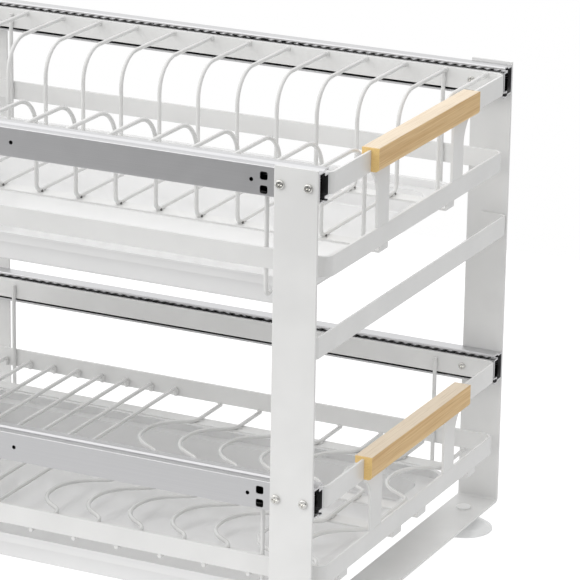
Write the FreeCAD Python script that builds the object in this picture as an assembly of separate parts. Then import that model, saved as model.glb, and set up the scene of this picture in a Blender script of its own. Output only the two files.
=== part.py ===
import FreeCAD, Part
import math
import os

# Two-tier pull-out dish rack for the inside of a kitchen cabinet.
# X points out of the cabinet, Y to the left side, Z up. The floor is Z 0.
# Every size is in millimetres. The origin is under the middle of the whole object.

# Driving dimensions of the frame
frame_length = 600.0
frame_width = 430.0
foot_height = 18.5
upright_height = 450.0
bar_width = 42.0
bar_thickness = 2.5
bar_bend = 2.5
soft_edge = 0.6

# Driving dimensions of the crossbars
crossbar_bottom = 297.3
crossbar_height = 20.0
crossbar_thickness = 2.0
crossbar_bend = 4.0
crossbar_flange = 26.0

# Driving dimensions of the ball-bearing slides
tier_centres = {"upper": 452.2, "lower": 163.2}
slide_height = 27.0
rail_window = 7.4
rail_window_x = 247.0
rail_window_heights = (4.55, -7.85)
rail_window_round = 1.8
rail_hole_radius = 1.9
rail_hole_x = (235.0, -4.0, -235.0)
rail_screw_inset = (9.0, 36.0)
slide_depth = 19.0
slide_metal = 1.3
outer_flange = 18.3
outer_lip = 2.3
race_start = 9.0
race_rise = 1.8
race_round = 1.2
inner_half_height = 10.2
inner_flange_start = 11.0
inner_curl = 1.1
inner_rail_play = 3.0
cage_play = 0.7
cage_depth = 2.3
ball_play = 0.15
ball_diameter = 3.0
ball_depth = 14.3
balls_per_row = 10
cage_length = 180.0
cage_metal = 0.6

# Driving dimensions of a drawer
band_height = 20.0
ring_height = 19.0
hoop_metal = 2.5
hoop_corner = 9.0
hoop_proud = 2.0
band_drop = 0.2
ring_drop = 75.1
leg_width = 23.7
leg_spacing = 83.0
leg_flare_width = 14.5
leg_flare_height = 22.5
leg_flare_sag = 0.38
wire = 4.0
post_x = 239.0
post_bend = 5.0
tray_hook_depth = 30.0
tray_hook_play = 0.4

# Driving dimensions of the wires
hat_pitch = 42.0
hat_count = 14
hat_first_x = 282.5
hat_half_width = 82.0
hat_shoulder = 32.0
hat_foot_bend = 8.0
hat_flange_drop = 3.0
hat_bottom_below_ring = 1.1
rod_pitch = 28.6
rod_count = 9
rod_first_x = -48.2
rod_above_ring_bottom = 8.9
rod_end_above_ring_bottom = 1.0
rod_bend = 3.0
bowl_pitch = 45.0
bowl_count = 7
bowl_first_x = 1.5
bowl_side_run = ((0, 193.0), (0, 138.0), (-33.0, 116.0), (-33.0, 68.0), (5.0, 44.0))
bowl_bends = (20.0, 40.0, 40.0, 10.0)

# Driving dimensions of the straps under the wires
strap_width = 16.5
strap_metal = 2.0
strap_dip = 2.9
strap_rise = 9.0
strap_dip_start = 16.0
strap_dip_end = 9.0
strap_bend = 1.8
upper_strap_y = (74.0,)
lower_strap_y = (28.0, 146.0)

# Driving dimensions of the wooden handle
handle_half_length = 112.0
handle_front = 8.0
handle_back = 6.5
handle_top = 2.8
handle_back_lip = 4.5
handle_front_round = 4.0
handle_top_round = 1.0
handle_screw_y = 80.0
handle_screw_drop = 3.2
handle_screw_bite = 4.5
handle_pilot_length = 6.5

# Driving dimensions of the drip tray
tray_half_length = 270.0
tray_half_width = 173.0
tray_below_ring = 13.3
lower_tray_drop = 6.2
tray_lip = 2.4
tray_lip_width = 3.0
tray_upper_wall = 10.1
tray_depth = 33.5
tray_wall = 2.0
tray_front_ledge = 21.0
tray_side_ledge = 12.0
tray_draft = 5.0
tray_corner = 30.0
tray_ledge_corner = 22.0
tray_floor_corner = 18.0
tray_floor_round = 4.0

# Driving dimensions of the feet and screws
cup_radius = 29.0
cup_x = 279.0
cup_y = 178.0
cup_lip = 1.6
cup_edge = 1.2
cup_slope = (22.0, 5.6)
cup_shoulder = (13.0, 9.4)
cup_neck_radius = 9.5
cup_neck_start = 12.0
cup_neck_end = 15.5
cup_collar_radius = 12.0
cup_collar_start = 16.8
cup_hollow = 5.2
cup_hollow_shoulder = (10.0, 4.6)
cup_hollow_slope = (20.0, 2.8)
cup_socket_floor = 8.0
plug_head_radius = 7.5
plug_head_height = 2.0
plug_head_round = 1.2
stud_radius = 4.0
screw_head_radius = 4.3
screw_head_height = 2.5
screw_crown = 0.55
screw_slot = 0.28
screw_slot_length = 0.62
screw_slot_floor = 0.35
drawer_screw_head = 3.6
handle_screw_head = 2.0
band_screw_head = 1.6
band_screw_x = (267.0, -267.0)
screw_radius = 2.0
fit_play = 0.1

# Positions worked out from the driving dimensions
half_length = frame_length / 2
half_width = frame_width / 2
side_inner = half_width - bar_thickness
drawer_half_width = side_inner - slide_depth
drawer_half_length = half_length + hoop_proud
drawer_inside = drawer_half_width - hoop_metal
plate_top = foot_height + bar_thickness
front_reach = drawer_half_length + handle_front
rear_reach = cup_x + cup_radius
frame_centre = (rear_reach - front_reach) / 2


def save(name, shape):
    placed = shape.copy()
    placed.translate(vec(frame_centre, 0, 0))
    placed.exportStep("parts/" + name + ".step")
    print(name, placed.isValid(), len(placed.Solids), round(placed.Volume))


def vec(x, y, z):
    return FreeCAD.Vector(x, y, z)


def block(x0, x1, y0, y1, z0, z1):
    low = vec(min(x0, x1), min(y0, y1), min(z0, z1))
    return Part.makeBox(abs(x1 - x0), abs(y1 - y0), abs(z1 - z0), low)


def mirror_y(shape):
    return shape.mirror(vec(0, 0, 0), vec(0, 1, 0))


def mirror_x(shape):
    return shape.mirror(vec(0, 0, 0), vec(1, 0, 0))


def outline_face(points):
    return Part.Face(Part.makePolygon(points + points[:1]))


def edges_along(shape, direction):
    """The straight edges of a shape that run along one direction."""
    lines = [e for e in shape.Edges if e.Curve.TypeId == "Part::GeomLine"]
    return [e for e in lines if abs(e.tangentAt(0).dot(direction)) > 0.9]


def edges_above(shape, z):
    return [e for e in shape.Edges if e.BoundBox.ZMin > z - soft_edge / 2]


def edges_below(shape, z):
    return [e for e in shape.Edges if e.BoundBox.ZMax < z + soft_edge / 2]


def bent_path(points, radii):
    """Straight runs joined by tangent arcs; one radius for each inner point."""
    pieces = []
    start = points[0]
    for i, radius in enumerate(radii):
        corner = points[i + 1]
        back = (points[i] - corner).normalize()
        ahead = (points[i + 2] - corner).normalize()
        half = back.getAngle(ahead) / 2
        reach = radius / math.tan(half)
        into = corner + back * reach
        out = corner + ahead * reach
        inward = (back + ahead).normalize()
        centre = corner + inward * (radius / math.sin(half))
        middle = centre - inward * radius
        pieces.append(Part.LineSegment(start, into).toShape())
        pieces.append(Part.Arc(into, middle, out).toShape())
        start = out
    pieces.append(Part.LineSegment(start, points[-1]).toShape())
    return Part.Wire(pieces)


def bent_wire(points, radii):
    path = bent_path(points, radii)
    circle = Part.Circle(points[0], points[1] - points[0], wire / 2)
    return path.makePipeShell([Part.Wire(circle.toShape())], True, False)


def bent_bar(outer_points, inner_points, inner_radius, metal, width):
    """A flat bar bent twice into a U, from the lines of its two faces."""
    outer_radius = inner_radius + metal
    outside = bent_path(outer_points, [outer_radius, outer_radius])
    inside = bent_path(inner_points, [inner_radius, inner_radius])
    ends = []
    for i in (0, -1):
        ends.append(Part.LineSegment(outer_points[i], inner_points[i]).toShape())
    outline = Part.Wire(Part.__sortEdges__(outside.Edges + inside.Edges + ends))
    bar = Part.Face(outline).extrude(width)
    centre = bar.CenterOfMass
    nearly_half = (width.Length - soft_edge) * width.Length / 2
    rims = [e for e in bar.Edges if abs((e.CenterOfMass - centre).dot(width)) > nearly_half]
    return bar.makeFillet(soft_edge, rims)


def rounded_plate(half_x, half_y, radius, z0, z1):
    plate = block(-half_x, half_x, -half_y, half_y, z0, z1)
    return plate.makeFillet(radius, edges_along(plate, vec(0, 0, 1)))


def rounded_outline(half_x, half_y, radius, z):
    plate = rounded_plate(half_x, half_y, radius, z, z + 1)
    low = min(plate.Faces, key=lambda face: face.CenterOfMass.z)
    return low.OuterWire


def pan_screw(length, head_radius, head_height):
    """A pan-head cross-slot screw whose head sits on Z 0 and whose shank runs down."""
    head = Part.makeCylinder(head_radius, head_height)
    head = head.makeFillet(head_height * screw_crown, edges_above(head, head_height))
    half_slot = head_radius * screw_slot / 2
    half_span = head_radius * screw_slot_length
    floor = head_height * screw_slot_floor
    for turn in (0, 90):
        slot = block(-half_span, half_span, -half_slot, half_slot, floor, head_height)
        slot.rotate(vec(0, 0, 0), vec(0, 0, 1), turn)
        head = head.cut(slot)
    return head.fuse(Part.makeCylinder(screw_radius, length, vec(0, 0, 0), vec(0, 0, -1)))


def place_screw(screw, place, facing):
    """Turn a screw so that its head looks along the facing direction, and put it down."""
    placed = screw.copy()
    placed.Placement = FreeCAD.Placement(place, FreeCAD.Rotation(vec(0, 0, 1), facing))
    return placed


def screw_hole(start, direction, depth):
    return Part.makeCylinder(screw_radius + fit_play, depth, start, direction)


# The frame: two flat bars, each bent into a U that stands on its base
def rail_screw_xs():
    return [end * (half_length - inset) for inset in rail_screw_inset for end in (1, -1)]


def frame_bar():
    top = foot_height + upright_height
    x = half_length - bar_width
    outer = [vec(x, half_width, top), vec(x, half_width, foot_height)]
    outer += [vec(x, -half_width, foot_height), vec(x, -half_width, top)]
    inner = [vec(x, side_inner, top), vec(x, side_inner, plate_top)]
    inner += [vec(x, -side_inner, plate_top), vec(x, -side_inner, top)]
    bar = bent_bar(outer, inner, bar_bend, bar_thickness, vec(bar_width, 0, 0))
    for inset in rail_screw_inset:
        for z in tier_centres.values():
            for side in (1, -1):
                start = vec(half_length - inset, side * (half_width + 1), z)
                bar = bar.cut(screw_hole(start, vec(0, -side, 0), bar_thickness + 2))
    for side in (1, -1):
        start = vec(cup_x, side * cup_y, foot_height - 1)
        bar = bar.cut(Part.makeCylinder(stud_radius + fit_play, bar_thickness + 2, start))
    return bar


def crossbar():
    reach = half_length - crossbar_flange
    x = half_length - crossbar_thickness
    y = side_inner - crossbar_thickness
    z = crossbar_bottom
    outer = [vec(reach, side_inner, z), vec(half_length, side_inner, z)]
    outer += [vec(half_length, -side_inner, z), vec(reach, -side_inner, z)]
    inner = [vec(reach, y, z), vec(x, y, z), vec(x, -y, z), vec(reach, -y, z)]
    return bent_bar(outer, inner, crossbar_bend, crossbar_thickness, vec(0, 0, crossbar_height))


def rail_screws():
    screw = pan_screw(bar_thickness + slide_metal, screw_head_radius, screw_head_height)
    screws = []
    for x in rail_screw_xs():
        for z in tier_centres.values():
            for side in (1, -1):
                screws.append(place_screw(screw, vec(x, side * half_width, z), vec(0, side, 0)))
    return Part.makeCompound(screws)


# Slides are drawn on the left side, at height 0, and moved to their tier
def slide_section(half):
    """A section in slide depth and height, from its upper half, mirrored below."""
    lower = [(depth, -height) for depth, height in reversed(half)]
    whole = half + lower[1:-1]
    return outline_face([vec(0, side_inner - depth, height) for depth, height in whole])


def ramp(height, rise, shift):
    """The two corners where a section line steps up at 45 degrees into the ball race.

    The shift is the line's distance below the rail's outside, so that the metal keeps its thickness."""
    start = race_start + shift * math.tan(math.pi / 8)
    return [(start, height), (start + rise, height + rise)]


def outer_rail():
    """The fixed rail: a web, and flanges that step up into a ball race with a lip."""
    top = slide_height / 2
    under = top - slide_metal
    race_top = top + race_rise
    lip_end = race_top - outer_lip
    lip_inside = outer_flange - slide_metal
    half = [(0, 0), (0, top)] + ramp(top, race_rise, 0)
    half += [(outer_flange, race_top), (outer_flange, lip_end), (lip_inside, lip_end)]
    half += [(lip_inside, race_top - slide_metal)] + ramp(under, race_rise, slide_metal)[::-1]
    half += [(slide_metal, under), (slide_metal, 0)]
    rail = slide_section(half).extrude(vec(frame_length, 0, 0))
    rail.translate(vec(-half_length, 0, 0))
    long_edges = edges_along(rail, vec(1, 0, 0))
    race_corners = [e for e in long_edges if abs(e.CenterOfMass.z) > race_top - soft_edge]
    rail = rail.makeFillet(race_round, race_corners)
    long_edges = edges_along(rail, vec(1, 0, 0))
    web_corners = [e for e in long_edges if abs(abs(e.CenterOfMass.z) - top) < soft_edge / 2]
    web_corners = [e for e in web_corners if e.CenterOfMass.y > side_inner - soft_edge]
    rail = rail.makeFillet(soft_edge, web_corners)
    stop_top = top - slide_metal / 2
    stop_start = side_inner - slide_metal / 2
    stop_end = side_inner - lip_inside
    stop = block(-half_length, slide_metal - half_length, stop_start, stop_end, -stop_top, stop_top)
    rail = rail.fuse(stop).removeSplitter()
    half_window = rail_window / 2
    web = (side_inner + 1, side_inner - 2 * slide_metal)
    for end in (1, -1):
        for height in rail_window_heights:
            window = block(-half_window, half_window, web[0], web[1], -half_window, half_window)
            window = window.makeFillet(rail_window_round, edges_along(window, vec(0, 1, 0)))
            window.translate(vec(end * rail_window_x, 0, height))
            rail = rail.cut(window)
    for x in rail_hole_x:
        start = vec(x, web[0], 0)
        rail = rail.cut(Part.makeCylinder(rail_hole_radius, 3 * slide_metal, start, vec(0, -1, 0)))
    for x in rail_screw_xs():
        rail = rail.cut(screw_hole(vec(x, web[0], 0), vec(0, -1, 0), 3 * slide_metal))
    return rail


def inner_rail():
    """The moving rail: its web lies on the drawer and its curled flanges hold the balls."""
    top = inner_half_height
    under = top - slide_metal
    curl_top = top + inner_curl
    start = inner_flange_start
    web = slide_depth - slide_metal
    half = [(slide_depth, 0), (slide_depth, top), (start + slide_metal, top)]
    half += [(start + slide_metal, curl_top), (start, curl_top), (start, under), (web, under), (web, 0)]
    rail = slide_section(half).extrude(vec(frame_length - inner_rail_play, 0, 0))
    rail.translate(vec(-half_length + inner_rail_play, 0, 0))
    for x in band_screw_x:
        rail = rail.cut(screw_hole(vec(x, drawer_inside, 0), vec(0, 1, 0), hoop_metal + 2 * slide_metal))
    return rail


def ball_places():
    race_inside = slide_height / 2 + race_rise - slide_metal
    height = (inner_half_height + race_inside) / 2
    pitch = cage_length / balls_per_row
    places = []
    for i in range(balls_per_row):
        for row in (height, -height):
            places.append(vec((i + 0.5) * pitch - cage_length / 2, side_inner - ball_depth, row))
    return places


def balls():
    return Part.makeCompound([Part.makeSphere(ball_diameter / 2, place) for place in ball_places()])


def ball_cage():
    top = slide_height / 2 - slide_metal - cage_play
    under = top - cage_metal
    inside = cage_depth + cage_metal
    far = outer_flange - slide_metal - cage_metal
    outer_shift = slide_metal + cage_play
    half = [(cage_depth, 0), (cage_depth, top)] + ramp(top, race_rise, outer_shift)
    half += [(far, top + race_rise), (far, under + race_rise)]
    half += ramp(under, race_rise, outer_shift + cage_metal)[::-1]
    half += [(inside, under), (inside, 0)]
    cage = slide_section(half).extrude(vec(cage_length, 0, 0))
    cage.translate(vec(-cage_length / 2, 0, 0))
    for place in ball_places():
        start = place - vec(0, 0, ball_diameter)
        cage = cage.cut(Part.makeCylinder(ball_diameter / 2 + ball_play, 2 * ball_diameter, start))
    return cage


# Feet: a soft suction cup under the base plate, held by a plug pressed down through it
def suction_cup():
    skirt = [(cup_radius, 0), (cup_radius, cup_edge), cup_slope, cup_shoulder]
    neck = [(cup_neck_radius, cup_neck_start), (cup_neck_radius, cup_neck_end)]
    collar = [(cup_collar_radius, cup_collar_start), (cup_collar_radius, foot_height)]
    socket = [(stud_radius, foot_height), (stud_radius, cup_socket_floor), (0, cup_socket_floor)]
    hollow = [(0, cup_hollow), cup_hollow_shoulder, cup_hollow_slope, (cup_radius - cup_lip, 0)]
    outline = [vec(r, 0, z) for r, z in skirt + neck + collar + socket + hollow]
    return outline_face(outline).revolve(vec(0, 0, 0), vec(0, 0, 1), 360)


def cup_plug():
    head_top = plate_top + plug_head_height
    head = Part.makeCylinder(plug_head_radius, plug_head_height, vec(0, 0, plate_top))
    head = head.makeFillet(plug_head_round, edges_above(head, head_top))
    stud_end = cup_socket_floor + fit_play
    stud = Part.makeCylinder(stud_radius - fit_play, plate_top - stud_end, vec(0, 0, stud_end))
    return head.fuse(stud)


# Drawer hoops: a flat strip bent round and welded into a ring
def hoop(bottom, height):
    top = bottom + height
    length = drawer_half_length
    width = drawer_half_width
    outside = rounded_plate(length, width, hoop_corner, bottom, top)
    inner_corner = hoop_corner - hoop_metal
    inside = rounded_plate(length - hoop_metal, width - hoop_metal, inner_corner, bottom - 1, top + 1)
    ring = outside.cut(inside)
    return ring.makeFillet(soft_edge, edges_above(ring, top) + edges_below(ring, bottom))


def ring_bottom(centre):
    return centre - ring_drop - band_height / 2


def band_top(centre):
    return centre + band_height / 2 - band_drop


def band(centre):
    strip = hoop(band_top(centre) - band_height, band_height)
    for side in (1, -1):
        for x in band_screw_x:
            start = vec(x, side * (drawer_inside - 1), centre)
            strip = strip.cut(screw_hole(start, vec(0, side, 0), hoop_metal + 2))
        inside = drawer_half_length - hoop_metal - 1
        front = vec(inside, side * handle_screw_y, centre - handle_screw_drop)
        strip = strip.cut(screw_hole(front, vec(1, 0, 0), hoop_metal + 2))
    return strip


def leg(centre, end, side):
    """A flat leg between band and ring, flared where it meets the band on its outer side."""
    top = band_top(centre) - band_height
    bottom = ring_bottom(centre) + ring_height
    half = leg_width / 2
    sag_z = top - leg_flare_height * leg_flare_sag
    flare_start = vec(0, half, top - leg_flare_height)
    flare_middle = vec(0, half + leg_flare_width * leg_flare_sag, sag_z)
    flare_end = vec(0, half + leg_flare_width, top)
    outline = [
        Part.LineSegment(vec(0, -half, top), vec(0, -half, bottom)).toShape(),
        Part.LineSegment(vec(0, -half, bottom), vec(0, half, bottom)).toShape(),
        Part.LineSegment(vec(0, half, bottom), flare_start).toShape(),
        Part.Arc(flare_start, flare_middle, flare_end).toShape(),
        Part.LineSegment(flare_end, vec(0, -half, top)).toShape(),
    ]
    plate = Part.Face(Part.Wire(outline)).extrude(vec(hoop_metal, 0, 0))
    plate.translate(vec(drawer_half_length - hoop_metal, leg_spacing, 0))
    if side < 0:
        plate = mirror_y(plate)
    if end < 0:
        plate = mirror_x(plate)
    return plate


def tray_top(centre):
    """The tray hangs lower in the lower drawer, clear of the bowl wires' straps."""
    drop = lower_tray_drop if centre == tier_centres["lower"] else 0
    return ring_bottom(centre) - tray_below_ring - drop


def posts(centre):
    """Wires down from the band that pass inside the ring and hook under the tray's ledge."""
    ledge = tray_top(centre) - tray_upper_wall
    hook = ledge - tray_hook_play - wire / 2
    top = band_top(centre) - hat_flange_drop - wire / 2
    rods = []
    for side in (1, -1):
        y = side * (drawer_inside - wire / 2)
        inward = side * (drawer_inside - wire / 2 - tray_hook_depth)
        for x in (post_x, -post_x):
            points = [vec(x, y, top), vec(x, y, hook), vec(x, inward, hook)]
            rods.append(bent_wire(points, [post_bend]))
    return Part.makeCompound(rods)


# Strap: it lies under the wires; its ends dip, pass under the ring and turn up inside it
def strap(centre, y, wire_bottom):
    ring_inside = drawer_half_length - hoop_metal
    mid = wire_bottom - strap_metal
    low = mid - strap_dip
    dip_start = ring_inside - strap_dip_start
    dip_end = ring_inside - strap_dip_end
    top = ring_bottom(centre) + strap_rise
    rise = ring_inside - strap_metal
    under = [(ring_inside, top), (ring_inside, low), (dip_end, low), (dip_start, mid)]
    over = [(dip_start, mid + strap_metal), (dip_end, low + strap_metal)]
    over += [(rise, low + strap_metal), (rise, top)]
    front_under = [vec(x, 0, z) for x, z in under]
    rear_under = [vec(-x, 0, z) for x, z in reversed(under)]
    rear_over = [vec(-x, 0, z) for x, z in reversed(over)]
    front_over = [vec(x, 0, z) for x, z in over]
    section = outline_face(front_under + rear_under + rear_over + front_over)
    body = section.extrude(vec(0, strap_width, 0))
    bends = [e for e in edges_along(body, vec(0, 1, 0)) if e.BoundBox.ZMax < low + soft_edge]
    bends = [e for e in bends if abs(e.CenterOfMass.x) > rise]
    body = body.makeFillet(strap_bend, bends)
    body.translate(vec(0, y - strap_width / 2, 0))
    return body


def straps(centre, distances, wire_bottom):
    places = [side * y for y in distances for side in (1, -1)]
    return Part.makeCompound([strap(centre, y, wire_bottom) for y in places])


# Plate divider: out from the band, down, across the bottom and up again
def plate_wires(centre):
    flange = band_top(centre) - hat_flange_drop
    foot = ring_bottom(centre) - hat_bottom_below_ring
    bends = [hat_shoulder, hat_foot_bend, hat_foot_bend, hat_shoulder]
    wires = []
    for i in range(hat_count):
        x = hat_first_x - hat_pitch * i
        half = [(drawer_inside, flange), (hat_half_width, flange), (hat_half_width, foot)]
        right = [vec(x, -y, z) for y, z in half]
        left = [vec(x, y, z) for y, z in reversed(half)]
        wires.append(bent_wire(right + left, bends))
    return Part.makeCompound(wires)


def straight_rods(centre):
    """Cross rods of the lower drawer, each turned down onto the ring's inner face."""
    z = ring_bottom(centre) + rod_above_ring_bottom
    end = ring_bottom(centre) + rod_end_above_ring_bottom
    y = drawer_inside - wire / 2
    rods = []
    for i in range(rod_count):
        x = rod_first_x - rod_pitch * i
        points = [vec(x, -y, end), vec(x, -y, z), vec(x, y, z), vec(x, y, end)]
        rods.append(bent_wire(points, [rod_bend, rod_bend]))
    return Part.makeCompound(rods)


def bowl_wires(centre):
    """Cross wires that swing back on each side, so that bowls stand between them."""
    z = ring_bottom(centre) - wire / 2
    wires = []
    for i in range(bowl_count):
        x = bowl_first_x + bowl_pitch * i
        right = [vec(x + dx, -y, z) for dx, y in bowl_side_run]
        left = [vec(x + dx, y, z) for dx, y in reversed(bowl_side_run)]
        wires.append(bent_wire(right + left, bowl_bends + bowl_bends[::-1]))
    return Part.makeCompound(wires)


# Handle: a wooden bar with a groove underneath that rides over the front of the band
def handle(centre):
    strip_top = band_top(centre)
    strip_bottom = strip_top - band_height
    top = strip_top + handle_top
    strip_back = drawer_half_length - hoop_metal
    back = strip_back - handle_back
    half = handle_half_length
    bar = block(back, front_reach, -half, half, strip_bottom + soft_edge, top)
    groove_back = strip_back - fit_play
    groove_front = drawer_half_length + fit_play
    groove = block(groove_back, groove_front, -half - 1, half + 1, strip_bottom, strip_top + fit_play)
    lip_end = strip_top - handle_back_lip
    below_lip = block(back - 1, groove_front, -half - 1, half + 1, strip_bottom, lip_end)
    bar = bar.cut(groove).cut(below_lip)
    low_edges = edges_along(bar, vec(0, 1, 0))
    low_edges = [e for e in low_edges if e.BoundBox.ZMax < strip_bottom + 2 * soft_edge]
    bar = bar.makeFillet(handle_front_round, [e for e in low_edges if e.BoundBox.XMin > front_reach - 1])
    bar = bar.makeFillet(handle_top_round, edges_above(bar, top))
    for side in (1, -1):
        start = vec(groove_front - 1, side * handle_screw_y, centre - handle_screw_drop)
        bar = bar.cut(screw_hole(start, vec(1, 0, 0), handle_pilot_length))
    return bar


def handle_screws(centre):
    screw = pan_screw(hoop_metal + handle_screw_bite, drawer_screw_head, handle_screw_head)
    x = drawer_half_length - hoop_metal
    z = centre - handle_screw_drop
    places = [vec(x, side * handle_screw_y, z) for side in (1, -1)]
    return Part.makeCompound([place_screw(screw, place, vec(-1, 0, 0)) for place in places])


def band_screws(centre):
    screw = pan_screw(hoop_metal + slide_metal, drawer_screw_head, band_screw_head)
    screws = []
    for x in band_screw_x:
        for side in (1, -1):
            screws.append(place_screw(screw, vec(x, side * drawer_inside, centre), vec(0, -side, 0)))
    return Part.makeCompound(screws)


# Drip tray: a moulded tray with a stepped wall, whose ledge rests on the post hooks
def tray_wall_block(inset, ledge, top):
    length = tray_half_length - inset
    width = tray_half_width - inset
    return rounded_plate(length, width, tray_corner - inset, ledge, top)


def tray_basin_block(inset, ledge, floor):
    length = tray_half_length - inset - tray_front_ledge
    width = tray_half_width - inset - tray_side_ledge
    upper_line = rounded_outline(length, width, tray_ledge_corner, ledge)
    lower_line = rounded_outline(length - tray_draft, width - tray_draft, tray_floor_corner, floor)
    return Part.makeLoft([lower_line, upper_line], True, True)


def drip_tray(centre):
    top = tray_top(centre)
    ledge = top - tray_upper_wall
    floor = top - tray_depth
    inner = tray_lip_width + tray_wall
    rim = tray_wall_block(0, top - tray_lip, top)
    basin = tray_basin_block(tray_lip_width, ledge + tray_wall / 2, floor)
    shell = tray_wall_block(tray_lip_width, ledge, top).fuse(basin).removeSplitter()
    shell = shell.makeFillet(tray_floor_round, edges_below(shell, floor))
    hollow_basin = tray_basin_block(inner, ledge + 2 * tray_wall, floor + tray_wall)
    hollow_floor = edges_below(hollow_basin, floor + tray_wall)
    hollow_basin = hollow_basin.makeFillet(tray_floor_round - tray_wall, hollow_floor)
    hollow_wall = tray_wall_block(inner, ledge + tray_wall, top + 1)
    tray = rim.fuse(shell).cut(hollow_wall).cut(hollow_basin).removeSplitter()
    return tray.makeFillet(soft_edge, edges_above(tray, top))


def build_frame():
    front = frame_bar()
    save("front_frame", front)
    save("rear_frame", mirror_x(front))
    bar = crossbar()
    save("front_crossbar", bar)
    save("rear_crossbar", mirror_x(bar))
    save("rail_screws", rail_screws())
    cup = suction_cup()
    plugs = []
    for end_name, end in (("front", 1), ("rear", -1)):
        for side_name, side in (("left", 1), ("right", -1)):
            place = vec(end * cup_x, side * cup_y, 0)
            save(end_name + "_" + side_name + "_suction_cup", cup.translated(place))
            plugs.append(cup_plug().translated(place))
    save("cup_plugs", Part.makeCompound(plugs))


def build_slides(tier, centre):
    pieces = {"outer_rail": outer_rail(), "inner_rail": inner_rail()}
    pieces.update({"ball_cage": ball_cage(), "balls": balls()})
    for name, piece in pieces.items():
        left = piece.translated(vec(0, 0, centre))
        save(tier + "_left_" + name, left)
        save(tier + "_right_" + name, mirror_y(left))


def build_drawer(tier, centre):
    save(tier + "_band", band(centre))
    save(tier + "_ring", hoop(ring_bottom(centre), ring_height))
    for end_name, end in (("front", 1), ("rear", -1)):
        pair = [leg(centre, end, side) for side in (1, -1)]
        save(tier + "_" + end_name + "_legs", Part.makeCompound(pair))
    save(tier + "_posts", posts(centre))
    save(tier + "_handle", handle(centre))
    save(tier + "_handle_screws", handle_screws(centre))
    save(tier + "_band_screws", band_screws(centre))
    save(tier + "_drip_tray", drip_tray(centre))


os.makedirs("parts", exist_ok=True)
build_frame()
for tier, centre in tier_centres.items():
    build_slides(tier, centre)
    build_drawer(tier, centre)

upper = tier_centres["upper"]
lower = tier_centres["lower"]
save("plate_wires", plate_wires(upper))
save("straight_rods", straight_rods(lower))
save("bowl_wires", bowl_wires(lower))
save("upper_straps", straps(upper, upper_strap_y, ring_bottom(upper) - hat_bottom_below_ring - wire / 2))
save("lower_straps", straps(lower, lower_strap_y, ring_bottom(lower) - wire))
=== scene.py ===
import math

import bmesh
import bpy
from mathutils import Matrix, Vector


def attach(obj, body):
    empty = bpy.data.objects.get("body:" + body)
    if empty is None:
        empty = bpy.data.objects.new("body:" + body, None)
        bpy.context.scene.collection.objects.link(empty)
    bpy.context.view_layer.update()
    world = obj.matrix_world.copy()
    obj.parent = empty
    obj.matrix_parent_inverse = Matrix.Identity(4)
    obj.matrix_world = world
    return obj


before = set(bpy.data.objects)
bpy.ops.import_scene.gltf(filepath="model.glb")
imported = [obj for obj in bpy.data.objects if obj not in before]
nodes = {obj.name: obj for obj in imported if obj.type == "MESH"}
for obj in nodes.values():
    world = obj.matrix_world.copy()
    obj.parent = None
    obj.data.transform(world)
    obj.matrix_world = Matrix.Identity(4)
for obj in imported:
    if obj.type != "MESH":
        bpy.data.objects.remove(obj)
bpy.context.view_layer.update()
scene = bpy.context.scene

# The studio: a pale floor that ends a metre from the rack, in soft walls, brightest above and to the left.
# Their light fades to the right and, below the horizon, to the near side, so metal that faces there is grey.
# The camera itself sees plain white behind and under the rack.
floor_reach = 1.05
floor_drop = 0.0004
ceiling_light = 1.45
near_light = 0.80
far_light = 0.85
left_light = 1.45
right_light = 0.0
low_left_light = 1.65
low_near_light = 0.0
low_light = 0.80
floor_share = 0.84
floor_glow = 0.86
floor_seen = 1.2
near_lamp_watts = 12
near_lamp_size = 1.6
near_lamp_place = (-1.4, -2.6, 1.6)
near_lamp_aim = (0, 0, 0.25)
lamp_colour = "#fffdfa"
floor_tone = "#f4f4f4"
white = "#ffffff"


def linear(hex_colour):
    """An sRGB hex colour as linear red, green, blue and alpha."""
    channels = [int(hex_colour[i:i + 2], 16) / 255 for i in (1, 3, 5)]
    return [c / 12.92 if c <= 0.04045 else ((c + 0.055) / 1.055) ** 2.4 for c in channels] + [1.0]


def add(tree, kind, settings=None, links=None):
    """Adds a node, gives it its settings and socket values, and links its inputs to sockets or to nodes."""
    node = tree.nodes.new(kind)
    for name, value in (settings or {}).items():
        if isinstance(name, int) or name in node.inputs:
            node.inputs[name].default_value = value
        else:
            setattr(node, name, value)
    for name, source in (links or {}).items():
        tree.links.new(source.outputs[0] if hasattr(source, "outputs") else source, node.inputs[name])
    return node


scene.view_settings.view_transform = "Standard"
scene.world = bpy.data.worlds.new("studio_walls")
scene.world.use_nodes = True
walls = scene.world.node_tree
walls.nodes.clear()
direction = add(walls, "ShaderNodeTexCoord").outputs["Generated"]
axes = add(walls, "ShaderNodeSeparateXYZ", None, {0: direction})
squares = add(walls, "ShaderNodeVectorMath", {"operation": "MULTIPLY"}, {0: direction, 1: direction})
above = add(walls, "ShaderNodeMath", {"operation": "GREATER_THAN", 1: 0.0}, {0: axes.outputs["Z"]})
to_right = add(walls, "ShaderNodeMath", {"operation": "GREATER_THAN", 1: 0.0}, {0: axes.outputs["X"]})
to_far = add(walls, "ShaderNodeMath", {"operation": "GREATER_THAN", 1: 0.0}, {0: axes.outputs["Y"]})
tones = {}
for part, towards, high, low in (
    ("left", to_right, (left_light, right_light), (low_left_light, low_light)),
    ("near", to_far, (near_light, far_light), (low_near_light, low_light)),
):
    upper = add(walls, "ShaderNodeMapRange", {"To Min": high[0], "To Max": high[1]}, {"Value": towards})
    lower = add(walls, "ShaderNodeMapRange", {"To Min": low[0], "To Max": low[1]}, {"Value": towards})
    tones[part] = add(walls, "ShaderNodeMapRange", None, {"Value": above, "To Min": lower, "To Max": upper})
down_to_up = {"To Min": low_light, "To Max": ceiling_light}
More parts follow.
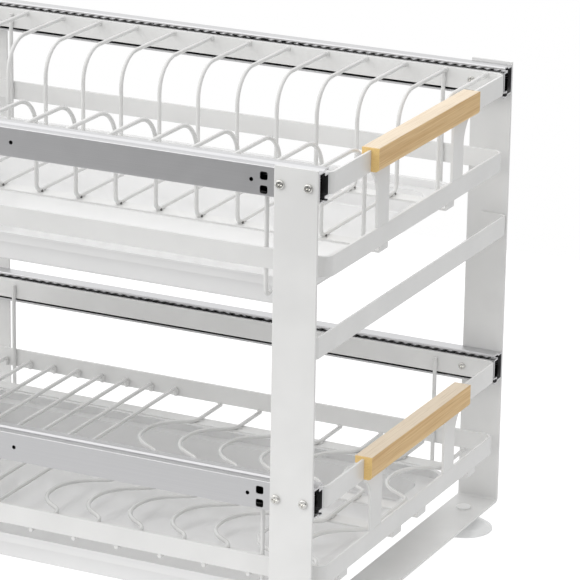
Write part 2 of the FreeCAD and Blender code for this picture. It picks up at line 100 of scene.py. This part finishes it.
tones["up"] = add(walls, "ShaderNodeMapRange", down_to_up, {"Value": above})
by_wall = add(walls, "ShaderNodeCombineXYZ", None, {0: tones["left"], 1: tones["near"], 2: tones["up"]})
wall_sum = add(walls, "ShaderNodeVectorMath", {"operation": "DOT_PRODUCT"}, {0: by_wall, 1: squares})
seen = add(walls, "ShaderNodeLightPath").outputs["Is Camera Ray"]
strength = wall_sum.outputs["Value"]
wall_tone = add(walls, "ShaderNodeBackground", {"Color": linear(white)}, {"Strength": strength})
white_back = add(walls, "ShaderNodeBackground", {"Color": linear(white), "Strength": 1.0})
both = add(walls, "ShaderNodeMixShader", None, {0: seen, 1: wall_tone, 2: white_back})
add(walls, "ShaderNodeOutputWorld", None, {"Surface": both})

floor_mesh = bpy.data.meshes.new("studio_floor")
corner_signs = ((-1, -1), (1, -1), (1, 1), (-1, 1))
corners = [(x * floor_reach, y * floor_reach, -floor_drop) for x, y in corner_signs]
floor_mesh.from_pydata(corners, [], [(0, 1, 2, 3)])
floor = bpy.data.objects.new("studio_floor", floor_mesh)
scene.collection.objects.link(floor)
floor_finish = bpy.data.materials.new("studio_floor_pale")
floor_finish.use_nodes = True
tree = floor_finish.node_tree
tree.nodes.clear()
matt = add(tree, "ShaderNodeBsdfDiffuse", {"Color": linear(floor_tone)})
seen = add(tree, "ShaderNodeLightPath").outputs["Is Camera Ray"]
strength = add(tree, "ShaderNodeMapRange", {"To Min": floor_glow, "To Max": floor_seen}, {"Value": seen})
glow = add(tree, "ShaderNodeEmission", {"Color": linear(white)}, {"Strength": strength})
mixed = add(tree, "ShaderNodeMixShader", {0: floor_share}, {1: matt, 2: glow})
add(tree, "ShaderNodeOutputMaterial", None, {"Surface": mixed})
floor_mesh.materials.append(floor_finish)

near_lamp = bpy.data.lights.new("lamp_near_side", "AREA")
near_lamp.shape = "SQUARE"
near_lamp.size = near_lamp_size
near_lamp.energy = near_lamp_watts
near_lamp.color = linear(lamp_colour)[:3]
lamp = bpy.data.objects.new("lamp_near_side", near_lamp)
scene.collection.objects.link(lamp)
lamp.location = near_lamp_place
lamp.rotation_euler = (Vector(near_lamp_aim) - lamp.location).to_track_quat("-Z", "Y").to_euler()

# The camera stands to the right of the rack's near side, looks down a little, and rolls by under a degree.
# Its lens and its small shift come from the straight edges of the rack in the photograph.
camera_turn = math.radians(26.1045)
camera_tilt = math.radians(18.2929)
camera_roll = math.radians(0.804)
camera_place = (1.5351, -2.8238, 1.3032)
camera_film_mm = 36.0
camera_lens_mm = 219.23
camera_shift = (0.0311, 0.0251)
camera_range = (0.05, 50.0)
camera = bpy.data.objects.new("camera", bpy.data.cameras.new("camera"))
camera.data.sensor_width = camera_film_mm
camera.data.lens = camera_lens_mm
camera.data.shift_x, camera.data.shift_y = camera_shift
camera.data.clip_start, camera.data.clip_end = camera_range
aim = Matrix.Rotation(camera_turn, 4, "Z") @ Matrix.Rotation(math.pi / 2 - camera_tilt, 4, "X")
camera.matrix_world = Matrix.Translation(camera_place) @ aim @ Matrix.Rotation(camera_roll, 4, "Z")
scene.collection.objects.link(camera)
scene.camera = camera

# The two U-bars and the two crossbars: flat steel, cut, bent and powder-coated white.
# The baked powder leaves a glossy skin with the faint dimples of orange peel, drawn a little coarse to show,
# and slow waves from the rolled strip under it, so the reflections in it waver.
powder_white = "#ececeb"
powder_thin = "#e7e7e6"
powder_roughness = {"To Min": 0.2, "To Max": 0.27}
cloud_mm = 45
cloud_edges = {"From Min": 0.35, "From Max": 0.65}
peel_mm = 2.2
peel_depth = 0.000012
strip_wave_mm = 26
strip_wave_depth = 0.00012


def bare_material(name):
    """A material whose node tree is empty."""
    material = bpy.data.materials.new(name)
    material.use_nodes = True
    material.node_tree.nodes.clear()
    return material, material.node_tree


def cover(material, *names):
    """Puts a material on CAD nodes."""
    for name in names:
        for place in nodes[name].material_slots:
            place.material = material


powder_coated_steel, tree = bare_material("powder_coated_steel")
place = add(tree, "ShaderNodeTexCoord").outputs["Object"]
clouds = add(tree, "ShaderNodeTexNoise", {"Scale": 1000 / cloud_mm, "Detail": 2.0}, {"Vector": place})
cloud_share = add(tree, "ShaderNodeMapRange", cloud_edges, {"Value": clouds})
coat_tones = {"data_type": "RGBA", 6: linear(powder_thin), 7: linear(powder_white)}
coat = add(tree, "ShaderNodeMix", coat_tones, {0: cloud_share}).outputs[2]
waves = add(tree, "ShaderNodeTexNoise", {"Scale": 1000 / strip_wave_mm, "Detail": 1.0}, {"Vector": place})
peel = add(tree, "ShaderNodeTexNoise", {"Scale": 1000 / peel_mm, "Detail": 1.0}, {"Vector": place})
waved = add(tree, "ShaderNodeBump", {"Distance": strip_wave_depth}, {"Height": waves})
peeled = add(tree, "ShaderNodeBump", {"Distance": peel_depth}, {"Height": peel, "Normal": waved})
gloss = add(tree, "ShaderNodeMapRange", powder_roughness, {"Value": clouds})
coated = add(tree, "ShaderNodeBsdfPrincipled", {"IOR": 1.5},
             {"Base Color": coat, "Roughness": gloss, "Normal": peeled})
add(tree, "ShaderNodeOutputMaterial", None, {"Surface": coated})
cover(powder_coated_steel, "front_frame", "rear_frame", "front_crossbar", "rear_crossbar")

# The outer and inner rails of the four slides: roll-formed strip steel, bright zinc plated and screwed on.
# Their webs carry faint lines from the rolls, drawn coarse to show. The channels are painted near black, for
# dried grease and as painted shade inside them, and in their upper halves the passing balls have wiped it into
# slanting lines.
zinc_light = "#d5d5d6"
zinc_dark = "#cbcbcd"
zinc_roughness = {"To Min": 0.26, "To Max": 0.34}
# The near black painted into the channels, for grease and as painted shade inside them.
grease_and_shade = "#070708"
roll_line_mm = 0.9
roll_run_mm = 400
zinc_haze_mm = 14
rail_middle = -0.001
outer_shade_and_grease_end = 0.2962
inner_shade_and_grease_end = 0.2935
slide_plane = 0.2125
tier_step = 0.289
lower_tier = 0.1632
web_metal = 0.0013
web_face = web_metal * 0.9
flange_inside = 0.0122
wipe_mm = 9.6
wipe_lean = -4.0
race_foot = 0.00954
race_rise = 0.0018
lip_start = 0.0171
channel_mouth = 0.0185


def zinc_plate(name, channel, shade_and_grease_end):
    """Bright zinc on rolled strip, painted near black inside the channel, for grease and as painted shade, as
    far as shade_and_grease_end from the rail's middle.
    """
    material, tree = bare_material(name)
    place = add(tree, "ShaderNodeTexCoord").outputs["Object"]
    axes = add(tree, "ShaderNodeSeparateXYZ", None, {0: place})
    x = axes.outputs["X"]
    from_middle = add(tree, "ShaderNodeMath", {"operation": "SUBTRACT", 1: rail_middle}, {0: x})
    along = add(tree, "ShaderNodeMath", {"operation": "ABSOLUTE"}, {0: from_middle})
    out = add(tree, "ShaderNodeMath", {"operation": "ABSOLUTE"}, {0: axes.outputs["Y"]})
    inward = add(tree, "ShaderNodeMath", {"operation": "SUBTRACT", 0: slide_plane}, {1: out})
    one_tier = {"operation": "WRAP", 1: lower_tier + tier_step / 2, 2: lower_tier - tier_step / 2}
    tier_height = add(tree, "ShaderNodeMath", one_tier, {0: axes.outputs["Z"]})
    from_plane = add(tree, "ShaderNodeMath", {"operation": "SUBTRACT", 1: lower_tier}, {0: tier_height})
    height = add(tree, "ShaderNodeMath", {"operation": "ABSOLUTE"}, {0: from_plane})
    inside = channel(tree, inward, height)
    lean = {"operation": "MULTIPLY_ADD", 1: wipe_lean}
    leaning = add(tree, "ShaderNodeMath", lean, {0: from_plane, 2: from_middle})
    wipes = add(tree, "ShaderNodeMath", {"operation": "MODULO", 1: wipe_mm / 1000}, {0: leaning})
    wipe_gap = add(tree, "ShaderNodeMath", {"operation": "ABSOLUTE"}, {0: wipes})
    unwiped = add(tree, "ShaderNodeMath", {"operation": "LESS_THAN", 1: wipe_mm / 2000}, {0: wipe_gap})
    lower_half = add(tree, "ShaderNodeMath", {"operation": "LESS_THAN", 1: 0.0}, {0: from_plane})
    dark_kept = add(tree, "ShaderNodeMath", {"operation": "MAXIMUM"}, {0: unwiped, 1: lower_half})
    inside = add(tree, "ShaderNodeMath", {"operation": "MULTIPLY"}, {0: inside, 1: dark_kept})
    before_end = add(tree, "ShaderNodeMath", {"operation": "LESS_THAN", 1: shade_and_grease_end}, {0: along})
    shaded_and_greased = add(tree, "ShaderNodeMath", {"operation": "MULTIPLY"}, {0: inside, 1: before_end})
    run = {"Scale": (1000 / roll_run_mm, 1000 / roll_line_mm, 1000 / roll_line_mm)}
    drawn_out = add(tree, "ShaderNodeMapping", run, {"Vector": place})
    lines = add(tree, "ShaderNodeTexNoise", {"Scale": 1.0, "Detail": 3.0}, {"Vector": drawn_out})
    line_tones = {"data_type": "RGBA", 6: linear(zinc_dark), 7: linear(zinc_light)}
    metal = add(tree, "ShaderNodeMix", line_tones, {0: lines}).outputs[2]
    # Painted shade: the channel's inside turns near black and loses its metal, standing for grease and for the
    # shade in it.
    grease_and_shade_film = {"data_type": "RGBA", 7: linear(grease_and_shade)}
    skin_tone = add(tree, "ShaderNodeMix", grease_and_shade_film, {0: shaded_and_greased, 6: metal}).outputs[2]
    metallic = add(tree, "ShaderNodeMath", {"operation": "SUBTRACT", 0: 1.0}, {1: shaded_and_greased})
    haze = add(tree, "ShaderNodeTexNoise", {"Scale": 1000 / zinc_haze_mm}, {"Vector": place})
    dullness = add(tree, "ShaderNodeMapRange", zinc_roughness, {"Value": haze})
    plated = add(tree, "ShaderNodeBsdfPrincipled", None,
                 {"Base Color": skin_tone, "Metallic": metallic, "Roughness": dullness})
    add(tree, "ShaderNodeOutputMaterial", None, {"Surface": plated})
    return material


def inside_outer_rail(tree, inward, height):
    """Between the web and the lip, under the flange and its raised race."""
    low = flange_inside + web_metal / 4
    race = {"From Min": race_foot, "From Max": race_foot + race_rise,
            "To Min": low, "To Max": low + race_rise}
    ceiling = add(tree, "ShaderNodeMapRange", race, {"Value": inward})
    under = add(tree, "ShaderNodeMath", {"operation": "LESS_THAN"}, {0: height, 1: ceiling})
    past_web = add(tree, "ShaderNodeMath", {"operation": "GREATER_THAN", 1: web_face}, {0: inward})
    before_lip = add(tree, "ShaderNodeMath", {"operation": "LESS_THAN", 1: lip_start}, {0: inward})
    across = add(tree, "ShaderNodeMath", {"operation": "MULTIPLY"}, {0: past_web, 1: before_lip})
    return add(tree, "ShaderNodeMath", {"operation": "MULTIPLY"}, {0: across, 1: under})


def inside_inner_rail(tree, inward, height):
    """Everything on the balls' side of the web's drawer face."""
    return add(tree, "ShaderNodeMath", {"operation": "LESS_THAN", 1: channel_mouth}, {0: inward})


zinc_outer = zinc_plate("zinc_plated_steel_outer_rail", inside_outer_rail, outer_shade_and_grease_end)
zinc_inner = zinc_plate("zinc_plated_steel_inner_rail", inside_inner_rail, inner_shade_and_grease_end)
slides = [tier + "_" + side for tier in ("upper", "lower") for side in ("left", "right")]
for slide in slides:
    cover(zinc_outer, slide + "_outer_rail")
    cover(zinc_inner, slide + "_inner_rail")

# The ball cages and the balls: a thin pressed cage, dark from its phosphate bath, and hardened bright balls.
# Only a glimpse of them shows, between the rails. The bath's crystals are drawn coarse, to show as a speckle.
phosphate = "#1b1b1c"
phosphate_pale = "#262628"
crystal_mm = 0.8
patch_edges = {"From Min": 0.3, "From Max": 0.7}
ball_tone = "#8d8f92"
ball_roughness = {"From Min": 0.2, "From Max": 0.8, "To Min": 0.1, "To Max": 0.3}
lapping_mm = 1.5
phosphated_steel, tree = bare_material("phosphated_steel")
place = add(tree, "ShaderNodeTexCoord").outputs["Object"]
crystals = add(tree, "ShaderNodeTexNoise", {"Scale": 1000 / crystal_mm}, {"Vector": place})
crystal_share = add(tree, "ShaderNodeMapRange", patch_edges, {"Value": crystals})
crystal_tones = {"data_type": "RGBA", 6: linear(phosphate), 7: linear(phosphate_pale)}
speckle = add(tree, "ShaderNodeMix", crystal_tones, {0: crystal_share}).outputs[2]
dipped = add(tree, "ShaderNodeBsdfPrincipled", {"Metallic": 0.6, "Roughness": 0.5}, {"Base Color": speckle})
add(tree, "ShaderNodeOutputMaterial", None, {"Surface": dipped})
hardened_ball_steel, tree = bare_material("hardened_ball_steel")
place = add(tree, "ShaderNodeTexCoord").outputs["Object"]
lapping = add(tree, "ShaderNodeTexNoise", {"Scale": 1000 / lapping_mm}, {"Vector": place})
polish = add(tree, "ShaderNodeMapRange", ball_roughness, {"Value": lapping})
lapped = add(tree, "ShaderNodeBsdfPrincipled", {"Base Color": linear(ball_tone), "Metallic": 1.0},
             {"Roughness": polish})
add(tree, "ShaderNodeOutputMaterial", None, {"Surface": lapped})
for slide in slides:
    cover(phosphated_steel, slide + "_ball_cage")
    cover(hardened_ball_steel, slide + "_balls")

# The screws: cold-headed steel with a cross recess, nickel plated, so they mirror the studio.
# A little dirt dulls the plating in patches.
nickel = "#e3e2df"
nickel_dull = "#cfceca"
nickel_roughness = {"To Min": 0.18, "To Max": 0.1}
dirt_mm = 2.5
nickel_plate, tree = bare_material("nickel_plated_steel")
place = add(tree, "ShaderNodeTexCoord").outputs["Object"]
dirt = add(tree, "ShaderNodeTexNoise", {"Scale": 1000 / dirt_mm}, {"Vector": place})
clean = add(tree, "ShaderNodeMapRange", patch_edges, {"Value": dirt})
plate_tones = {"data_type": "RGBA", 6: linear(nickel_dull), 7: linear(nickel)}
plate = add(tree, "ShaderNodeMix", plate_tones, {0: clean}).outputs[2]
polish = add(tree, "ShaderNodeMapRange", nickel_roughness, {"Value": clean})
plated = add(tree, "ShaderNodeBsdfPrincipled", {"Metallic": 1.0}, {"Base Color": plate, "Roughness": polish})
add(tree, "ShaderNodeOutputMaterial", None, {"Surface": plated})
cover(nickel_plate, "rail_screws")
for tier in ("upper", "lower"):
    cover(nickel_plate, tier + "_band_screws", tier + "_handle_screws")

# The drawers' bands, rings, legs and straps: flat steel strip, cut, bent and welded into one piece a drawer.
# They carry the frame's white powder coat.
for tier in ("upper", "lower"):
    for part in ("band", "ring", "front_legs", "rear_legs", "straps"):
        cover(powder_coated_steel, tier + "_" + part)

# The wires: 4 mm steel wire, cut, bent, welded to the bands and rings, and coated in the same bath of powder.
# The coat draws round and thicker on a thin wire: its gloss is even, and its peel, drawn coarse, is longer.
wire_white = "#e8e8e7"
wire_thin = "#e0e0df"
wire_peel_mm = 3.0
powder_coated_wire, tree = bare_material("powder_coated_wire")
place = add(tree, "ShaderNodeTexCoord").outputs["Object"]
clouds = add(tree, "ShaderNodeTexNoise", {"Scale": 1000 / cloud_mm, "Detail": 2.0}, {"Vector": place})
cloud_share = add(tree, "ShaderNodeMapRange", cloud_edges, {"Value": clouds})
coat_tones = {"data_type": "RGBA", 6: linear(wire_thin), 7: linear(wire_white)}
coat = add(tree, "ShaderNodeMix", coat_tones, {0: cloud_share}).outputs[2]
peel = add(tree, "ShaderNodeTexNoise", {"Scale": 1000 / wire_peel_mm, "Detail": 1.0}, {"Vector": place})
peeled = add(tree, "ShaderNodeBump", {"Distance": peel_depth}, {"Height": peel})
coated = add(tree, "ShaderNodeBsdfPrincipled", {"IOR": 1.5, "Roughness": 0.24},
             {"Base Color": coat, "Normal": peeled})
add(tree, "ShaderNodeOutputMaterial", None, {"Surface": coated})
cover(powder_coated_wire, "plate_wires", "straight_rods", "bowl_wires", "upper_posts", "lower_posts")

# The welds under the coat: a flat nugget where each wire meets a band, a ring or a strap.
# Each place here is a distance from the rack's middle and a height, and each nugget has its half sizes.
weld_sides = (1, -1)
plate_wire_x = [0.2815 - 0.042 * i for i in range(14)]
rod_x = [-0.0492 - 0.0286 * i for i in range(9)]
bowl_wire_x = [0.0005 + 0.045 * i for i in range(7)]
post_x = (0.238, -0.240)
plate_wire_at_band = (0.1902, 0.4588)
plate_wire_at_strap = (0.0740, 0.3645)
rod_at_ring = (0.1900, 0.0835)
bowl_wire_at_ring = (0.1912, 0.0782)
bowl_wire_at_outer_strap = (0.1460, 0.0746)
bowl_wire_at_inner_strap = (0.0280, 0.0746)
bowl_wire_sway = 0.005
post_out = 0.1897
upper_post_heights = (0.4500, 0.3760)
lower_post_heights = (0.1610, 0.0870)
band_nugget = (0.0030, 0.0013, 0.0028)
strap_nugget = (0.0030, 0.0042, 0.0011)
post_nugget = (0.0026, 0.0014, 0.0050)
rod_nugget = (0.0027, 0.0014, 0.0042)
ring_nugget = (0.0030, 0.0020, 0.0010)


def weld_beads(name, body, beads, material=powder_coated_wire):
    """Flattened round nuggets, each given by its middle and its three half sizes, as one piece."""
    made = bmesh.new()
    for middle, half in beads:
        shape = Matrix.Translation(middle) @ Matrix.Diagonal((*half, 1.0))
        bmesh.ops.create_icosphere(made, subdivisions=2, radius=1.0, matrix=shape)
    mesh = bpy.data.meshes.new(name)
    made.to_mesh(mesh)
    made.free()
    mesh.shade_smooth()
    mesh.materials.append(material)
    piece = bpy.data.objects.new(name, mesh)
    scene.collection.objects.link(piece)
    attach(piece, body)


upper_beads = []
for side in weld_sides:
    for x in plate_wire_x:
        for (out, height), half in ((plate_wire_at_band, band_nugget), (plate_wire_at_strap, strap_nugget)):
            upper_beads.append(((x, side * out, height), half))
    for x in post_x:
        for height in upper_post_heights:
            upper_beads.append(((x, side * post_out, height), post_nugget))
weld_beads("upper_wire_welds", "upper_drawer", upper_beads)
lower_beads = []
for side in weld_sides:
    for x in rod_x:
        lower_beads.append(((x, side * rod_at_ring[0], rod_at_ring[1]), rod_nugget))
    for x in bowl_wire_x:
        for (out, height), half, sway in (
            (bowl_wire_at_ring, ring_nugget, 0),
            (bowl_wire_at_outer_strap, strap_nugget, 0),
            (bowl_wire_at_inner_strap, strap_nugget, bowl_wire_sway),
        ):
            lower_beads.append(((x + sway, side * out, height), half))
    for x in post_x:
        for height in lower_post_heights:
            lower_beads.append(((x, side * post_out, height), post_nugget))
weld_beads("lower_wire_welds", "lower_drawer", lower_beads)

# Small dark nuggets on each side of each plate wire, where it crosses a strap: painted contact shade in the
# crevice between wire and strap, a mottled dark grey.
shade_spot_at_strap = (0.0752, 0.3652)
shade_spot_beside = 0.0019
shade_spot_size = (0.0013, 0.0017, 0.0013)
shade_spot_dark = "#5c5d5f"
shade_spot_grey = "#7a7875"
shade_mottle_mm = 1.2
painted_contact_shade, tree = bare_material("painted_contact_shade")
place = add(tree, "ShaderNodeTexCoord").outputs["Object"]
shade_mottle = add(tree, "ShaderNodeTexNoise", {"Scale": 1000 / shade_mottle_mm}, {"Vector": place})
shade_spot_tones = {"data_type": "RGBA", 6: linear(shade_spot_dark), 7: linear(shade_spot_grey)}
spot = add(tree, "ShaderNodeMix", shade_spot_tones, {0: shade_mottle}).outputs[2]
shade_spot_skin = add(tree, "ShaderNodeBsdfPrincipled", {"Metallic": 0.5, "Roughness": 0.55}, {"Base Color": spot})
add(tree, "ShaderNodeOutputMaterial", None, {"Surface": shade_spot_skin})
# Painted contact shade: dark grey nuggets set beside each plate wire where it meets a strap.
spots = []
for side in weld_sides:
    for x in plate_wire_x:
        for beside in weld_sides:
            middle = (x + beside * shade_spot_beside, side * shade_spot_at_strap[0], shade_spot_at_strap[1])
            spots.append((middle, shade_spot_size))
weld_beads("upper_painted_contact_shade_spots", "upper_drawer", spots, painted_contact_shade)

# The handles: strips of bamboo glued face to face, planed, rounded and oiled.
# Each strip has its own tone, with growth lines and fine fibres, drawn coarse to show, along the handle.
# The top face is creamier, a painted sheen for the light that falls on it, and the cut ends are yellower.
bamboo_sheen_cream = "#eee0cb"
bamboo_pale = "#f2d096"
bamboo_tan = "#d3a563"
bamboo_dark = "#a37c46"
bamboo_end = "#fbd78c"
bamboo_roughness = {"From Min": 0.3, "From Max": 0.7, "To Min": 0.42, "To Max": 0.52}
strip_mm = 5.6
strip_share = 0.22
growth_share = 0.75
growth_mm = (3.6, 130, 2.2)
streak_edges = {"From Min": 0.28, "From Max": 0.7}
fibre_mm = (0.5, 40, 0.5)
fibre_depth = 0.00004
fibre_edges = {"From Min": 0.5, "From Max": 0.8, "To Max": 0.45}
sway_mm = (60, 90, 60)
sway_depth = 0.0012
sheen_by_slope = {"From Min": 0.5, "From Max": 0.9, "To Max": 0.85}
end_by_slope = {"From Min": 0.6, "From Max": 0.9, "To Max": 0.75}
oiled_bamboo, tree = bare_material("oiled_bamboo")
place = add(tree, "ShaderNodeTexCoord").outputs["Object"]
axes = add(tree, "ShaderNodeSeparateXYZ", None, {0: place})
swaying = add(tree, "ShaderNodeMapping", {"Scale": [1000 / size for size in sway_mm]}, {"Vector": place})
sway = add(tree, "ShaderNodeTexNoise", {"Scale": 1.0, "Detail": 1.0}, {"Vector": swaying})
sway_range = {"From Min": 0.2, "From Max": 0.8, "To Min": -sway_depth, "To Max": sway_depth}
sway_height = add(tree, "ShaderNodeMapRange", sway_range, {"Value": sway})
strip_height = add(tree, "ShaderNodeMath", {"operation": "ADD"}, {0: axes.outputs["Z"], 1: sway_height})
strips = add(tree, "ShaderNodeMath", {"operation": "MULTIPLY", 1: 1000 / strip_mm}, {0: strip_height})
strip_number = add(tree, "ShaderNodeMath", {"operation": "FLOOR"}, {0: strips})
strip_noise = add(tree, "ShaderNodeTexWhiteNoise", {"noise_dimensions": "1D"}, {"W": strip_number})
growing = add(tree, "ShaderNodeMapping", {"Scale": [1000 / size for size in growth_mm]}, {"Vector": place})
growth_lines = {"Scale": 1.0, "Detail": 2.0, "Distortion": 0.6}
growth = add(tree, "ShaderNodeTexNoise", growth_lines, {"Vector": growing})
combed = add(tree, "ShaderNodeMapping", {"Scale": [1000 / size for size in fibre_mm]}, {"Vector": place})
fibres = add(tree, "ShaderNodeTexNoise", {"Scale": 1.0, "Detail": 2.0}, {"Vector": combed})
strip_tone = strip_noise.outputs["Value"]
strip_part = add(tree, "ShaderNodeMath", {"operation": "MULTIPLY", 1: strip_share}, {0: strip_tone})
by_growth = {"operation": "MULTIPLY_ADD", 1: growth_share}
streak = add(tree, "ShaderNodeMath", by_growth, {0: growth, 2: strip_part})
streak_part = add(tree, "ShaderNodeMapRange", streak_edges, {"Value": streak})
wood_tones = {"data_type": "RGBA", 6: linear(bamboo_pale), 7: linear(bamboo_tan)}
wood = add(tree, "ShaderNodeMix", wood_tones, {0: streak_part}).outputs[2]
facing = add(tree, "ShaderNodeNewGeometry").outputs["True Normal"]
facing_axes = add(tree, "ShaderNodeSeparateXYZ", None, {0: facing})
# Painted sheen: faces that look up are blended towards cream, for the light on the handle's top.
top_sheen_share = add(tree, "ShaderNodeMapRange", sheen_by_slope, {"Value": facing_axes.outputs["Z"]})
top_sheen_tone = {"data_type": "RGBA", 7: linear(bamboo_sheen_cream)}
sheened_wood = add(tree, "ShaderNodeMix", top_sheen_tone, {0: top_sheen_share, 6: wood}).outputs[2]
end_facing = add(tree, "ShaderNodeMath", {"operation": "ABSOLUTE"}, {0: facing_axes.outputs["Y"]})
end_part = add(tree, "ShaderNodeMapRange", end_by_slope, {"Value": end_facing})
end_grain = {"data_type": "RGBA", 7: linear(bamboo_end)}
cut = add(tree, "ShaderNodeMix", end_grain, {0: end_part, 6: sheened_wood}).outputs[2]
fibre_part = add(tree, "ShaderNodeMapRange", fibre_edges, {"Value": fibres})
fibre_tone = {"data_type": "RGBA", 7: linear(bamboo_dark)}
grain = add(tree, "ShaderNodeMix", fibre_tone, {0: fibre_part, 6: cut}).outputs[2]
sheen = add(tree, "ShaderNodeMapRange", bamboo_roughness, {"Value": fibres})
combed_skin = add(tree, "ShaderNodeBump", {"Distance": fibre_depth}, {"Height": fibres})
oiled = add(tree, "ShaderNodeBsdfPrincipled", {"IOR": 1.47, "Coat Weight": 0.12, "Coat Roughness": 0.3},
            {"Base Color": grain, "Roughness": sheen, "Normal": combed_skin})
add(tree, "ShaderNodeOutputMaterial", None, {"Surface": oiled})
cover(oiled_bamboo, "upper_handle", "lower_handle")

# The drip trays: white polystyrene, thermoformed over a polished mould, so they are the glossiest white part.
# They hang loose on the posts' hooks. The sheet waves a little, which bends the reflections.
tray_white = "#f1f1f1"
tray_shade = "#eeeeee"
sheet_cloud_mm = 80
sheet_wave_mm = 30
sheet_wave_depth = 0.00007
polystyrene, tree = bare_material("moulded_polystyrene")
place = add(tree, "ShaderNodeTexCoord").outputs["Object"]
clouds = add(tree, "ShaderNodeTexNoise", {"Scale": 1000 / sheet_cloud_mm}, {"Vector": place})
cloud_share = add(tree, "ShaderNodeMapRange", cloud_edges, {"Value": clouds})
sheet_tones = {"data_type": "RGBA", 6: linear(tray_shade), 7: linear(tray_white)}
sheet = add(tree, "ShaderNodeMix", sheet_tones, {0: cloud_share}).outputs[2]
waves = add(tree, "ShaderNodeTexNoise", {"Scale": 1000 / sheet_wave_mm, "Detail": 1.0}, {"Vector": place})
waved = add(tree, "ShaderNodeBump", {"Distance": sheet_wave_depth}, {"Height": waves})
moulded = add(tree, "ShaderNodeBsdfPrincipled", {"Roughness": 0.1, "IOR": 1.59},
              {"Base Color": sheet, "Normal": waved})
add(tree, "ShaderNodeOutputMaterial", None, {"Surface": moulded})
cover(polystyrene, "upper_drip_tray", "lower_drip_tray")

# The feet: suction cups of soft clear PVC, and the moulded white plugs that hold them in the base plates.
# The PVC has gone milky, so little light passes through it, and the plugs have a satin bloom.
pvc_milk = "#f8f9f9"
pvc_clear = "#fcfdfd"
milk_mm = 9
plug_white = "#f6f6f5"
plug_bloom = "#efefee"
plug_roughness = {"To Min": 0.28, "To Max": 0.36}
bloom_mm = 3
clear_pvc, tree = bare_material("clear_soft_pvc")
place = add(tree, "ShaderNodeTexCoord").outputs["Object"]
milk = add(tree, "ShaderNodeTexNoise", {"Scale": 1000 / milk_mm}, {"Vector": place})
milk_share = add(tree, "ShaderNodeMapRange", patch_edges, {"Value": milk})
pvc_tones = {"data_type": "RGBA", 6: linear(pvc_milk), 7: linear(pvc_clear)}
pvc = add(tree, "ShaderNodeMix", pvc_tones, {0: milk_share}).outputs[2]
soft = add(tree, "ShaderNodeBsdfPrincipled", {"Roughness": 0.2, "IOR": 1.53, "Transmission Weight": 0.08},
           {"Base Color": pvc})
add(tree, "ShaderNodeOutputMaterial", None, {"Surface": soft})
for corner in ("front_left", "front_right", "rear_left", "rear_right"):
    cover(clear_pvc, corner + "_suction_cup")
polypropylene, tree = bare_material("moulded_polypropylene")
place = add(tree, "ShaderNodeTexCoord").outputs["Object"]
bloom = add(tree, "ShaderNodeTexNoise", {"Scale": 1000 / bloom_mm}, {"Vector": place})
bloom_share = add(tree, "ShaderNodeMapRange", patch_edges, {"Value": bloom})
plug_tones = {"data_type": "RGBA", 6: linear(plug_bloom), 7: linear(plug_white)}
plug = add(tree, "ShaderNodeMix", plug_tones, {0: bloom_share}).outputs[2]
satin = add(tree, "ShaderNodeMapRange", plug_roughness, {"Value": bloom_share})
plug_skin = add(tree, "ShaderNodeBsdfPrincipled", {"IOR": 1.49}, {"Base Color": plug, "Roughness": satin})
add(tree, "ShaderNodeOutputMaterial", None, {"Surface": plug_skin})
cover(polypropylene, "cup_plugs")
